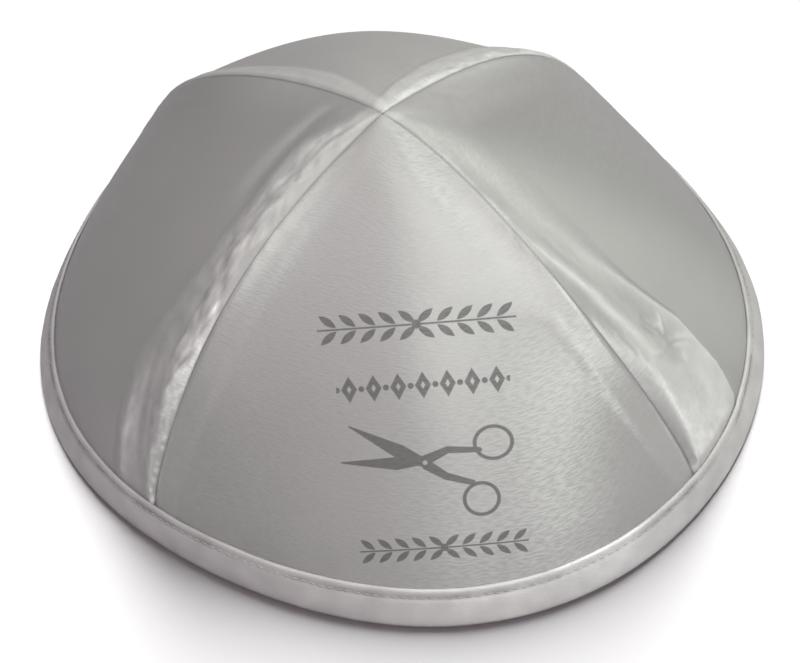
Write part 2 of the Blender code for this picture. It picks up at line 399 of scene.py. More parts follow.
# On a band: how far it wanders sideways, how much its height varies and how its cloth crumples
WANDER_LENGTH = 13.0 * MM
WANDER_ACROSS = 3.0 * WANDER_LENGTH
WANDER = 1.5 * MM
HEIGHT_LENGTH = 0.7 * WANDER_LENGTH
HEIGHT_SHARE = 0.45
CRUMPLE_LENGTH = 4.6 * MM
CRUMPLE_ACROSS = 0.8 * CRUMPLE_LENGTH
CRUMPLE_LIFT = 0.34 * MM
# The band's tone follows its crumples, lighter where they rise: painted light and shade on them
CRUMPLE_TONE = 0.9
FINE_LENGTH = 0.5 * CRUMPLE_LENGTH
FINE_ACROSS = 0.3 * CRUMPLE_LENGTH
FINE_SHARE = 0.5
BAND_HOLD = 3.0 * MM

# For each kind of band: how uneven it is, and how strong the painted highlights on its puckers and
# at its lower end are
UNEVEN = {
    "broad": (0.25, 0.15, 1.0),
    "puffed": (1.00, 1.00, 1.1),
    "pressed": (0.40, 0.20, 0.0),
    "turned": (0.35, 0.10, 0.0),
    "plain": (0.30, 0.10, 0.0),
    "faint": (0.30, 0.10, 0.0),
    "drawn": (0.30, 0.15, 0.0),
}
# Painted highlights on the puckers beside the seam and at the band's lower end
SHINE_PLACE = 0.75 * MM
SHINE_WIDTH = 0.50 * MM
SHINE_LENGTH = 0.5 * PUCKER_LENGTH
SHINE_CONTRAST = 2.6
SHINE_TOP = (36.0 * MM, 58.0 * MM)  # lengths up the wall between which the shine fades
END_PLACE = 11.8 * MM
END_SIZE = 1.5 * MM

# Added to the seed of a gore, so that each kind of noise is a draw of its own
DRAWS = {
    "gathers": 20.0,
    "shine": 33.0,
    "puckers": 40.0,
    "wander": 60.0,
    "height": 80.0,
    "crumple": 90.0,
}


def noise_over(across, up, seed):
    """Noise from about -1 to 1 at each point of two arrays."""
    flat = zip(across.ravel().tolist(), up.ravel().tolist())
    values = [noise.noise(Vector((x, y, seed))) for x, y in flat]
    return np.array(values).reshape(across.shape)


def uneven_band(kind, away, along, seed):
    """Lift of a band that wanders, swells and crumples a little, and its tone: its share of layers,
    with painted highlights and painted light and shade on its crumples.
    """
    uneven, shine, end_shine = UNEVEN[kind]
    free = uneven * ease(0.0, BAND_HOLD, away)
    wander = noise_over(away / WANDER_ACROSS, along / WANDER_LENGTH, seed + DRAWS["wander"])
    moved = away + WANDER * wander * free
    swell = noise_over(away / WANDER_LENGTH, along / HEIGHT_LENGTH, seed + DRAWS["height"])
    crumple = noise_over(away / CRUMPLE_ACROSS, along / CRUMPLE_LENGTH, seed + DRAWS["crumple"])
    crumple += FINE_SHARE * noise_over(away / FINE_ACROSS, along / FINE_LENGTH, seed)
    rise = band_lift(kind, moved, along)
    layered = np.clip(rise / MM, 0.0, 1.0) * free
    lift = rise * (1.0 + HEIGHT_SHARE * swell * free) + CRUMPLE_LIFT * crumple * layered
    # Painted highlights: bright dots beside the seam, where the stitches draw the cloth, and a
    # bright patch at the lower end, where it stands up against the binding
    dots = noise_over(away / PUCKER_LENGTH, along / SHINE_LENGTH, seed + DRAWS["shine"])
    dots = np.clip(SHINE_CONTRAST * dots, 0.0, 1.0)
    dots *= np.exp(-(((away - SHINE_PLACE) / SHINE_WIDTH) ** 2))
    end = np.exp(-(((along - END_PLACE) / END_SIZE) ** 2) - (away / END_SIZE) ** 2)
    tone_and_painted_light = band_layers_and_highlight(kind, moved, along) * (1.0 + CRUMPLE_TONE * crumple * free)
    tone_and_painted_light += shine * dots * (1.0 - ease(*SHINE_TOP, along)) + end_shine * end
    return lift, tone_and_painted_light


def cloth_lift(across, along, away_first, away_next, seed):
    """Lift from everything that isn't a band or a fold."""
    waves = noise_over(across / WAVE_LENGTH, along / WAVE_LENGTH, seed)
    lift = WAVE_LIFT * waves * ease(BINDING_HEIGHT, BINDING_HEIGHT + WAVE_LENGTH, along)
    gathers = noise_over(across / GATHER_LENGTH, along / GATHER_HEIGHT, seed + DRAWS["gathers"])
    lift += GATHER_LIFT * gathers * np.exp(-np.clip(along - BINDING_HEIGHT, 0, None) / GATHER_REACH)
    # Neighbouring gores share their seam, so nothing moves it
    lift *= ease(0.0, SEAM_HOLD, np.minimum(away_first, away_next))
    for away in (away_first, away_next):
        puckers = noise_over(away / PUCKER_ACROSS, along / PUCKER_LENGTH, seed + DRAWS["puckers"])
        near = np.exp(-away / PUCKER_REACH) * ease(0.0, PUCKER_START, away)
        lift += PUCKER_LIFT * puckers * near
    return lift


# %% [markdown]
# A gore starts as a flat grid, the cut piece of cloth, and Solidify gives it a thickness while it
# is still flat, so the wall is even and closed. Its vertices are then moved to the wall, as a hand
# would lay the cloth over a form. Columns crowd towards the seams, where the small shapes are,
# and rows crowd above the binding. At the peak the top row shrinks to one point and is merged.

# %% Four gores
# First seam's place and kind of band beside it, next seam's kind of band
GORES = {
    "panel_front": (0, "plain", "drawn"),
    "panel_right": (1, "broad", "faint"),
    "panel_back": (2, "pressed", "turned"),
    "panel_left": (3, "plain", "puffed"),
}
COLUMNS = 190
ROWS = 168
COLUMN_CROWDING = 0.66
GORE_START = 1.7 * MM
GORE_DEPTH = 1.3 * MM
GORE_WALL = 1.2 * MM
PULL_IN_LENGTH = 20.0 * MM
ROWS_IN_BINDING = 8
ROWS_IN_SWELL = 30
SWELL_TOP = 26.0 * MM
HIDDEN_TOP = BINDING_HEIGHT - 1.0 * MM
BINDING_HOLD = (-1.0 * MM, 3.5 * MM)  # past the binding's edge, where the cloth gets free
PEAK_HOLD = 9.0 * MM
DIP_WIDTH = 1.2 * MM
ALLOWANCE_STRIP = 9.0 * MM
ALLOWANCE_EDGE = 0.86 * ALLOWANCE_STRIP
ALLOWANCE_LIFT = 0.35 * MM
SAME_POINT = 1e-7  # metres
GORE_SEED = 3.0  # times the gore's place, for its noise
NEXT_SEED = 7.0  # added for the band beside its next seam


def lengths_up(full):
    """Length up the wall of each row of a gore, from inside the binding to the peak."""
    bound = np.linspace(GORE_START, HIDDEN_TOP, ROWS_IN_BINDING, endpoint=False)
    swell = np.linspace(HIDDEN_TOP, SWELL_TOP, ROWS_IN_SWELL, endpoint=False)
    rest = np.linspace(SWELL_TOP, full, ROWS + 1 - ROWS_IN_BINDING - ROWS_IN_SWELL)
    return np.concatenate([bound, swell, rest])


def lay_gore(place, depth):
    """Points of one layer of a gore as an array of rows, columns and x, y, z."""
    start, end = (math.radians(seam_after(place + side)[0]) for side in (0, 1))
    even = np.linspace(0.0, 1.0, COLUMNS + 1)
    shares = even - COLUMN_CROWDING * np.sin(2.0 * math.pi * even) / (2.0 * math.pi)
    points = np.zeros((ROWS + 1, COLUMNS + 1, 3))
    along = np.zeros((ROWS + 1, COLUMNS + 1))
    for column, azimuth in enumerate(start + (end - start) * shares):
        along[:, column] = lengths_up(wall_curve(azimuth)[0][-1])
        points[:, column] = wall_points(azimuth, along[:, column], depth[:, column])
    # Every column ends at the one peak of the cap
    peak = (PEAK_SHIFT[0] * RIM_RADIUS + RIM_MIDDLE[0], PEAK_SHIFT[1] * RIM_RADIUS + RIM_MIDDLE[1])
    points[-1] = (*peak, CAP_HEIGHT - depth[-1].mean())
    return points, along


def distances_across(points):
    """Distance of each point from its row's first point and from its last."""
    steps = np.linalg.norm(np.diff(points, axis=1), axis=2)
    from_first = np.concatenate([np.zeros((ROWS + 1, 1)), np.cumsum(steps, axis=1)], axis=1)
    return from_first, from_first[:, -1:] - from_first


def new_primitive(name, operator, **options):
    """Add a primitive with nothing else selected, and name it."""
    bpy.ops.object.select_all(action="DESELECT")
    operator(**options)
    piece = bpy.context.active_object
    piece.name = piece.data.name = name
    return piece


def move_vertices(piece, points):
    piece.data.vertices.foreach_set("co", points.astype(np.float32).ravel())
    piece.data.update()


def vertices_of(piece):
    flat = np.zeros(len(piece.data.vertices) * 3, np.float32)
    piece.data.vertices.foreach_get("co", flat)
    return flat.reshape(-1, 3)


def write_uv(piece, across, up):
    """Give the piece one UV map in metres of cloth, from a value for each face corner."""
    layer = piece.data.uv_layers[0]
    layer.name = "cloth"
    layer.data.foreach_set("uv", np.stack([across, up], axis=-1).astype(np.float32).ravel())


def corner_vertices(piece):
    corners = np.zeros(len(piece.data.loops), np.int32)
    piece.data.loops.foreach_get("vertex_index", corners)
    return corners


def merge_doubles(piece, distance):
    bpy.ops.object.select_all(action="DESELECT")
    piece.select_set(True)
    bpy.context.view_layer.objects.active = piece
    bpy.ops.object.mode_set(mode="EDIT")
    bpy.ops.mesh.select_all(action="SELECT")
    bpy.ops.mesh.remove_doubles(threshold=distance)
    bpy.ops.object.mode_set(mode="OBJECT")


def make_gore(name, place, first_band, next_band):
    """One gore: a flat cut, thickened, laid on the wall and given its folds."""
    smooth, along = lay_gore(place, np.zeros((ROWS + 1, COLUMNS + 1)))
    away_first, away_next = distances_across(smooth)
    across = (away_first - away_next) / 2
    seed = GORE_SEED * place
    lift, tone_and_painted_light = uneven_band(first_band, away_first, along, seed)
    next_lift, next_tone_and_light = uneven_band(next_band, away_next, along, seed + NEXT_SEED)
    lift, tone_and_painted_light = lift + next_lift, tone_and_painted_light + next_tone_and_light
    for side, away in enumerate((away_first, away_next)):
        seam = tuple(SEAMS)[(place + side) % len(SEAMS)]
        for fold in FOLDS.get((name, seam), ()):
            lift += fold_lift(fold, away, along)
    lift += cloth_lift(across, along, away_first, away_next, seed)
    # The binding presses the cloth flat, and so does the meeting of the seams at the peak
    shown = ease(*BINDING_HOLD, along - BINDING_HEIGHT) * ease(0.0, PEAK_HOLD, along[-1:] - along)
    edge = np.minimum(away_first, away_next)
    dip = seam_depth(along) * (1.0 - ease(0.0, DIP_WIDTH, edge))
    lift = lift * shown - dip * (1.0 - shown)
    pulled_in = GORE_DEPTH * (1.0 - ease(0.0, PULL_IN_LENGTH, along))
    tone_and_painted_light -= SEAM_SHADE * (1.0 - ease(0.0, CREASE_WIDTH, edge))
    strip = 1.0 - ease(ALLOWANCE_EDGE, ALLOWANCE_STRIP, edge)
    inner_depth = pulled_in + GORE_WALL + ALLOWANCE_LIFT * strip * shown
    layers = [lay_gore(place, depth)[0].reshape(-1, 3) for depth in (pulled_in - lift, inner_depth)]

    piece = new_primitive(
        name + "_satin",
        bpy.ops.mesh.primitive_grid_add,
        x_subdivisions=COLUMNS,
        y_subdivisions=ROWS,
        size=2.0,
    )
    wall = piece.modifiers.new("wall", "SOLIDIFY")
    wall.thickness = GORE_WALL
    bpy.ops.object.modifier_apply(modifier=wall.name)
    flat = vertices_of(piece)
    column = np.rint((flat[:, 0] + 1.0) / 2.0 * COLUMNS).astype(int)
    row = np.rint((flat[:, 1] + 1.0) / 2.0 * ROWS).astype(int)
    point = row * (COLUMNS + 1) + column
    is_inner = flat[:, 2] < -0.5 * GORE_WALL
    move_vertices(piece, np.where(is_inner[:, None], layers[1][point], layers[0][point]))
    corners = corner_vertices(piece)
    write_uv(piece, across.ravel()[point][corners], along.ravel()[point][corners])
    # The tone of the gore: more layers look whiter, with painted highlights and painted shade
    gore_tone_attribute = piece.data.attributes.new("tone_and_painted_light", "FLOAT", "POINT")
    gore_tone_attribute.data.foreach_set("value", np.where(is_inner, 0.0, tone_and_painted_light.ravel()[point]))
    merge_doubles(piece, SAME_POINT)
    bpy.ops.object.shade_smooth()
    return piece


gores = {name: make_gore(name, *choice) for name, choice in GORES.items()}
for name, gore in gores.items():
    print(name, "has", len(gore.data.vertices), "vertices")


# %% [markdown]
# The binding is a tape folded over the raw edge. Its section is a flat U: up the outside, over a
# small rolled lip, down to the fold and up again on the inside. A torus has the right topology,
# a ring of rings, so it is the primitive here, and its vertices are moved to the tape's section.
# The stitch row draws a groove into the tape, a little deeper at each needle hole. The tape's tone
# has a painted highlight along its lip and painted shade in the holes, and soft blotches between.

# %% Bias binding
TAPE_STEPS = 1080
TAPE_POINTS = 60
STITCH_LINE = 8.3 * MM
STITCH_PITCH = 2.0 * MM
GROOVE_WIDTH = 0.55 * MM
GROOVE_DEPTH = 0.30 * MM
HOLE_DEPTH = 0.16 * MM
GROOVE_UNEVEN = 0.6
GROOVE_LENGTH = 1.3 * STITCH_PITCH
OUTSIDE_DEPTH = 0.9 * MM  # the tape's outer skin is nearer the cap's skin than this
INSIDE_DEPTH = 3.0 * MM  # and its inner skin is farther from it than this
CORNER_ROUNDING = 9
CURVE_DETAIL = 24

# Small drags of the cloth, a slow swell of the tape and a wander of its upper edge
DRAG_LENGTH = 9.0 * MM
DRAG_ACROSS = 1.4 * DRAG_LENGTH
DRAG_LIFT = 0.10 * MM
FINE_DRAG_LENGTH = 0.3 * DRAG_LENGTH
FINE_DRAG_SHARE = 0.7
TAPE_SWELL_LENGTH = 3.0 * DRAG_LENGTH
TAPE_SWELL_LIFT = 0.16 * MM
FOLD_HOLD = 1.5 * MM
EDGE_LENGTH = 1.5 * DRAG_LENGTH
EDGE_WANDER = 0.22 * MM
EDGE_ZONE = (7.0 * MM, 10.0 * MM)

# The seam allowances under the tape: how it rises over them round the rim and up the wall
ALLOWANCE_BUMP = 0.35 * MM
BUMP_START = (-1.5 * MM, 1.0 * MM)
BUMP_FALL = 2.5 * MM
BUMP_RISE = (2.0 * MM, 9.0 * MM)

# Tone of the tape: a painted highlight at its rolled lip, painted shade in the needle holes, uneven
# between
LIP_PLACE = 10.4 * MM
LIP_WIDTH = 0.40 * MM
LIP_HIGHLIGHT = 0.08
HOLE_SHADE = 0.60
BLOTCH_BACKING = 0.24
BLOTCH_LENGTH = 0.45 * DRAG_LENGTH
BLOTCH_CHANGE = 260.0  # for each metre up the wall

# Places in the noise, so that each kind is a draw of its own
GROOVE_DRAW = Vector((0.0, 0.0, 9.0))
SWELL_DRAW = Vector((7.0, 0.0, 0.0))
EDGE_DRAW = Vector((0.0, 5.0, 0.0))
BLOTCH_DRAW = 3.0

# Length up the wall and depth, in millimetres, from the fold up the outside and back
TAPE_SECTION = (
    (0.00, 1.90),
    (0.00, 1.10),
    (0.22, 0.42),
    (0.85, 0.04),
    (2.60, -0.12),
    (5.20, -0.16),
    (7.20, -0.14),
    (9.00, -0.20),
    (9.90, -0.22),
    (10.42, -0.06),
    (10.58, 0.22),
    (10.36, 0.48),
    (9.60, 0.56),
    (8.20, 0.68),
    (5.20, 0.96),
    (1.60, 1.04),
    (1.35, 1.60),
    (1.60, 2.74),
    (5.20, 2.80),
    (8.20, 2.72),
    (9.60, 2.62),
    (10.10, 2.86),
    (10.22, 3.30),
    (9.90, 3.68),
    (8.80, 3.82),
    (5.20, 3.86),
    (1.00, 3.80),
    (0.24, 3.44),
    (0.00, 2.80),
)


def round_curve(knots, count):
    """Evenly spaced points on a closed smooth curve through the knots, and its length."""
    knots = np.array(knots)
    before, after, last = (np.roll(knots, shift, axis=0) for shift in (1, -1, -2))
    t = np.linspace(0.0, 1.0, CURVE_DETAIL, endpoint=False)[:, None, None]
    fine = 0.5 * (
        2.0 * knots
        + (after - before) * t
        + (2.0 * before - 5.0 * knots + 4.0 * after - last) * t ** 2
        + (3.0 * knots - before - 3.0 * after + last) * t ** 3
    )
    fine = fine.transpose(1, 0, 2).reshape(-1, 2)
    closed = np.concatenate([fine, fine[:1]])
    length = np.concatenate([[0.0], np.cumsum(np.linalg.norm(np.diff(closed, axis=0), axis=1))])
    places = np.linspace(0.0, length[-1], count, endpoint=False)
    return np.stack([np.interp(places, length, closed[:, k]) for k in (0, 1)], axis=-1), length[-1]


section, section_length = round_curve(np.array(TAPE_SECTION) * MM, TAPE_POINTS)
is_outside = section[:, 1] < OUTSIDE_DEPTH
is_inside = section[:, 1] > INSIDE_DEPTH
rim_azimuths = np.linspace(0.0, 2.0 * math.pi, TAPE_STEPS, endpoint=False)
rim_azimuths += math.radians(SEAMS["front_left"][0])
rim_points = np.array([wall_points(a, STITCH_LINE, 0.0) for a in rim_azimuths])
rim_steps = np.linalg.norm(np.roll(rim_points, -1, axis=0) - rim_points, axis=1)
rim_lengths = np.concatenate([[0.0], np.cumsum(rim_steps)])
RIM_LENGTH = rim_lengths[-1]
STITCH_COUNT = round(RIM_LENGTH / STITCH_PITCH)


def allowance_bump(azimuth):
    """How far the seam allowances under the tape push it out, from 0 to 1."""
    bump = 0.0
    kinds = tuple(GORES.values())
    for place, (seam, _bow) in enumerate(SEAMS.values()):
        away = (math.degrees(azimuth) - seam + 180.0) % 360.0 - 180.0
        away *= RIM_LENGTH / 360.0
        for side, band in ((-1.0, kinds[place - 1][2]), (1.0, kinds[place][1])):
            *_, last_lift, edge = BANDS[band][0]
            width = edge * MM
            reach = side * away
            inside = ease(*BUMP_START, reach) * (1.0 - ease(width - BUMP_FALL, width, reach))
            bump = max(bump, min(1.0, last_lift) * float(inside))
    return bump


def tape_ring(step):
    """Points of the tape's section at one step round the rim, and their tone, with painted highlight
    and painted shade.
    """
    azimuth, place = rim_azimuths[step], rim_lengths[step]
    along, depth = section[:, 0].copy(), section[:, 1].copy()
    stitch_wave = math.cos(2.0 * math.pi * STITCH_COUNT * place / RIM_LENGTH)
    groove = np.exp(-(((along - STITCH_LINE) / GROOVE_WIDTH) ** 2))
    # The noise is taken on a round ring, so that it meets itself where the tape closes
    turn = 2.0 * math.pi * place / RIM_LENGTH
    ring = Vector((math.cos(turn), math.sin(turn), 0.0)) * RIM_LENGTH / (2.0 * math.pi)
    uneven = 1.0 + GROOVE_UNEVEN * noise.noise(ring / GROOVE_LENGTH + GROOVE_DRAW)
    lip = np.exp(-(((along - LIP_PLACE) / LIP_WIDTH) ** 2))
    blotches = np.array([
        noise.noise(ring / BLOTCH_LENGTH + Vector((0.0, BLOTCH_DRAW, BLOTCH_CHANGE * a)))
        for a in along
    ])
    # A painted highlight along the lip and painted shade in the needle holes, over blotches of tone
    tone_and_painted_light = LIP_HIGHLIGHT * lip + BLOTCH_BACKING * blotches
    tone_and_painted_light -= HOLE_SHADE * groove * (0.5 + 0.5 * stitch_wave) * uneven
    groove *= (GROOVE_DEPTH + HOLE_DEPTH * stitch_wave) * uneven
    drag = np.array([
        noise.noise(ring / DRAG_LENGTH + Vector((0.0, 0.0, 1.0)) * (a / DRAG_ACROSS))
        + FINE_DRAG_SHARE
        * noise.noise(ring / FINE_DRAG_LENGTH + Vector((a, 0.0, 2.0 * a)) / DRAG_LENGTH)
        for a in along
    ])
    swell = noise.noise(ring / TAPE_SWELL_LENGTH + SWELL_DRAW)
    belly = np.clip(np.sin(math.pi * along / STITCH_LINE), 0.0, 1.0)
    free = ease(0.0, FOLD_HOLD, along)
    lift = (DRAG_LIFT * drag + TAPE_SWELL_LIFT * swell * belly) * free
    lift = lift + ALLOWANCE_BUMP * allowance_bump(azimuth) * ease(*BUMP_RISE, along)
    depth += np.where(is_outside, groove - lift, 0.0)
    depth -= np.where(is_inside, groove - DRAG_LIFT * drag * free, 0.0)
    edge = EDGE_WANDER * noise.noise(ring / EDGE_LENGTH + EDGE_DRAW)
    along += edge * ease(*EDGE_ZONE, along)
    return wall_points(azimuth, along, depth), np.where(is_outside, tone_and_painted_light, 0.0)


def smooth_round(points, reach):
    """Average each point with its neighbours round the rim, so that the seams leave no corner."""
    weights = np.hanning(2 * reach + 3)[1:-1]
    weights /= weights.sum()
    return sum(
        weight * np.roll(points, shift, axis=0)
        for weight, shift in zip(weights, range(-reach, reach + 1))
    )


plain_rings = np.array([wall_points(a, section[:, 0], 0.0 * section[:, 1]) for a in rim_azimuths])
rounding = smooth_round(plain_rings, CORNER_ROUNDING) - plain_rings
tape_rings = [tape_ring(step) for step in range(TAPE_STEPS)]
tape_points = np.array([points for points, _tone_and_light in tape_rings]) + rounding
tape_tone_and_light = np.array([tone_and_painted_light for _points, tone_and_painted_light in tape_rings])

binding = new_primitive(
    "rim_binding_satin",
    bpy.ops.mesh.primitive_torus_add,
    major_segments=TAPE_STEPS,
    minor_segments=TAPE_POINTS,
    major_radius=1.0,
    minor_radius=0.2,
)
round_torus = vertices_of(binding)
ring_turn = np.arctan2(round_torus[:, 1], round_torus[:, 0])
ring_index = np.rint(ring_turn / (2.0 * math.pi) * TAPE_STEPS).astype(int) % TAPE_STEPS
out_of_ring = np.hypot(round_torus[:, 0], round_torus[:, 1]) - 1.0
section_turn = np.arctan2(round_torus[:, 2], out_of_ring)
section_index = np.rint(section_turn / (2.0 * math.pi) * TAPE_POINTS).astype(int) % TAPE_POINTS
move_vertices(binding, tape_points[ring_index, section_index])


def tape_uv(piece):
    """Along the rim and round the section, with the last face of each round running on."""
    corners = corner_vertices(piece).reshape(-1, 4)
    places = []
    for index, count in ((ring_index, TAPE_STEPS), (section_index, TAPE_POINTS)):
        corner = index[corners]
        wraps = corner.max(axis=1, keepdims=True) - corner.min(axis=1, keepdims=True) > count / 2
        places.append(np.where(wraps & (corner == 0), count, corner).ravel())
    write_uv(piece, rim_lengths[places[0]], section_length * places[1] / TAPE_POINTS)


tape_uv(binding)
# The tone of the tape, with painted highlight and painted shade
tape_tone_attribute = binding.data.attributes.new("tone_and_painted_light", "FLOAT", "POINT")
tape_tone_attribute.data.foreach_set("value", tape_tone_and_light[ring_index, section_index])
bpy.ops.object.shade_smooth()
print("the tape is", round(RIM_LENGTH / MM), "mm round, with", STITCH_COUNT, "stitches")


# %% [markdown]
# The stitches are modelled once and copied along the groove, outside and inside. Each is a short
# thread that bulges between two needle holes, so a small sphere drawn out along the rim is
# enough, with few faces because there are hundreds of them.

# %% Machine stitches
STITCH_LENGTH = 0.78 * STITCH_PITCH
THREAD_RADIUS = 0.15 * MM
THREAD_ARCH = 0.9  # how far a stitch's ends dip into their holes, in thread radii
THREAD_STAND = 0.5  # how far the middle of a stitch stands over the groove, in thread radii


def make_stitches(name, is_on_side):
    """All stitches on one side of the tape, joined into one mesh."""
    off_line = np.abs(section[:, 0] - STITCH_LINE) + np.where(is_on_side, 0.0, 1.0)
    line = int(off_line.argmin())
    piece = new_primitive(
        name, bpy.ops.mesh.primitive_uv_sphere_add, segments=6, ring_count=5, radius=1.0
    )
    bpy.ops.object.shade_smooth()
    one = vertices_of(piece)[:, [2, 0, 1]]
    one[:, 2] -= THREAD_ARCH * one[:, 0] ** 2
    one = one * (0.5 * STITCH_LENGTH, THREAD_RADIUS, THREAD_RADIUS)
    row = piece.modifiers.new("row", "ARRAY")
    row.count = STITCH_COUNT
    row.use_relative_offset = False
    bpy.ops.object.modifier_apply(modifier=row.name)
    laid = []
    for stitch in range(STITCH_COUNT):
        place = (stitch + 0.5) * RIM_LENGTH / STITCH_COUNT
        step = int(np.searchsorted(rim_lengths, place, side="right")) - 1
        part = (place - rim_lengths[step]) / (rim_lengths[step + 1] - rim_lengths[step])
        here, there = tape_points[step], tape_points[(step + 1) % TAPE_STEPS]
        middle = here[line] + part * (there[line] - here[line])
        beside = there[line] - here[line]
        beside /= np.linalg.norm(beside)
        out = np.cross(beside, here[(line + 1) % TAPE_POINTS] - here[line - 1])
        out /= np.linalg.norm(out)
        axes = np.array([beside, np.cross(out, beside), out])
        laid.append(middle + THREAD_STAND * THREAD_RADIUS * out + one @ axes)
    move_vertices(piece, np.concatenate(laid))
    return piece


outer_stitches = make_stitches("rim_stitches_outside", is_outside)
inner_stitches = make_stitches("rim_stitches_inside", is_inside)
print(len(outer_stitches.data.polygons), "faces in the outer row")


# %% [markdown]
# Shader maths reads best as Python expressions, so one small class stands for a node's output.
# Adding or multiplying two of them adds the Math nodes.

# %% A wire that does maths
class Wire:
    """A node's output. Arithmetic on it adds Math nodes to its tree."""

    def __init__(self, tree, socket=None):
        self.tree = tree
        self.socket = socket

    def node(self, kind, settings=(), inputs=(), output=0):
        """Add any node: its type, its settings, the values or wires of its sockets."""
        made = self.tree.nodes.new(kind)
        for name, value in dict(settings).items():
            setattr(made, name, value)
        for name, value in dict(inputs).items():
            if isinstance(value, Wire):
                self.tree.links.new(value.socket, made.inputs[name])
            else:
                made.inputs[name].default_value = value
        return Wire(self.tree, made.outputs[output])

    def maths(self, operation, *values):
        return self.node("ShaderNodeMath", {"operation": operation}, enumerate(values))

    def __add__(self, other):
        return self.maths("ADD", self, other)

    def __sub__(self, other):
        return self.maths("SUBTRACT", self, other)

    def __mul__(self, other):
        return self.maths("MULTIPLY", self, other)

    def __truediv__(self, other):
        return self.maths("DIVIDE", self, other)

    def __rsub__(self, other):
        return self.maths("SUBTRACT", other, self)

    __radd__ = __add__
    __rmul__ = __mul__

    def __abs__(self):
        return self.maths("ABSOLUTE", self)

    def smaller(self, other):
        return self.maths("MINIMUM", self, other)

    def larger(self, other):
        return self.maths("MAXIMUM", self, other)

    def length_with(self, other):
        """Length of the arrow whose sides are this and the other."""
        return self.maths("SQRT", self * self + other * other)

    def within(self, low, high):
        return self.larger(low).smaller(high)

    def step(self, low, high):
        """0 below low, 1 above high and a smooth step between."""
        return self.node(
            "ShaderNodeMapRange",
            {"interpolation_type": "SMOOTHSTEP"},
            {"Value": self, "From Min": low, "From Max": high},
        )

    def noise(self, across, up, detail=2.0):
        """Noise from 0 to 1 over two wires."""
        place = self.node("ShaderNodeCombineXYZ", (), {"X": across, "Y": up})
        return self.node(
            "ShaderNodeTexNoise",
            {"noise_dimensions": "2D"},
            {"Vector": place, "Scale": 1.0, "Detail": detail},
        )

    def mix(self, first, second):
        """Colour between two, with this as the share of the second."""
        return self.node(
            "ShaderNodeMix",
            {"data_type": "RGBA"},
            {"Factor": self, 6: first, 7: second},
            output=2,
        )


print("wires are ready")


# %% [markdown]
# Satin shines because its threads float over several others before they are caught, all in one
# direction. Light that meets such threads spreads far across them and little along them. So the
# shader's gloss is anisotropic: drawn out up and down, because the weft threads run level across
# each gore. The shader takes the thread's direction from the mesh's texture space, as a circle
# round its middle; with that middle far behind the gore the circles are nearly straight threads.
# Short streaks of noise, long across and thin up and down, make the threads themselves. Each
# piece carries an attribute of tone that lightens the cloth where more layers lie under it, and
# also holds painted highlights and painted shade, such as in the creases of the seams.

# %% Satin
THREAD_STREAK = (2.1, 0.44)  # length and thickness of the streaks of the weave, in millimetres
THREAD_BUMP = 0.018  # in millimetres
SATIN_COLOUR = (0.500, 0.497, 0.494, 1.0)
TAPE_COLOUR = (0.690, 0.674, 0.675, 1.0)

# Size of the streaks, height of their bump in millimetres and how much their gloss varies
WEAVES = {
    "plain": (THREAD_STREAK, 0.5 * THREAD_BUMP, 0.09),
    "printed": (THREAD_STREAK, 0.7 * THREAD_BUMP, 0.24),
    "tape": ((1.3, 0.22), 0.010, 0.10),
}
WEAVE_EDGES = (0.34, 0.66)  # values of the noise at the bottom and the top of a thread
SWAY_LENGTH, SWAY_HEIGHT, SWAY = 3.0, 9.0, 1.2  # in lengths, thicknesses and thicknesses
MOTTLE_SIZE = 16.0  # in millimetres

# How much the tone varies with the gloss, by the mottle, and at the top of the attribute that holds
# layers, painted highlights and painted shade
WEAVE_TONE = 0.5
MOTTLE_TONE = 0.06
LAYER_AND_LIGHT_TONE = 0.60
ROUGHNESS, WEAVE_ROUGHNESS = 0.46, 0.12
SATIN_GLOSS = {
    "Metallic": 0.40,
    "Specular IOR Level": 0.35,
    "Anisotropic": 0.92,
    "Anisotropic Rotation": 0.25,
    "Sheen Weight": 0.02,
    "Sheen Roughness": 0.5,
}


def new_material(name):
    """A material with the usual shader, a wire to build its nodes with, and that shader."""
    material = bpy.data.materials.new(name)
    material.use_nodes = True
    tree = material.node_tree
    return material, Wire(tree), tree.nodes["Principled BSDF"]


def set_inputs(shader, values):
    """Give sockets of a shader their values or their wires."""
    for socket, value in values.items():
        if isinstance(value, Wire):
            value.tree.links.new(value.socket, shader.inputs[socket])
        else:
            shader.inputs[socket].default_value = value


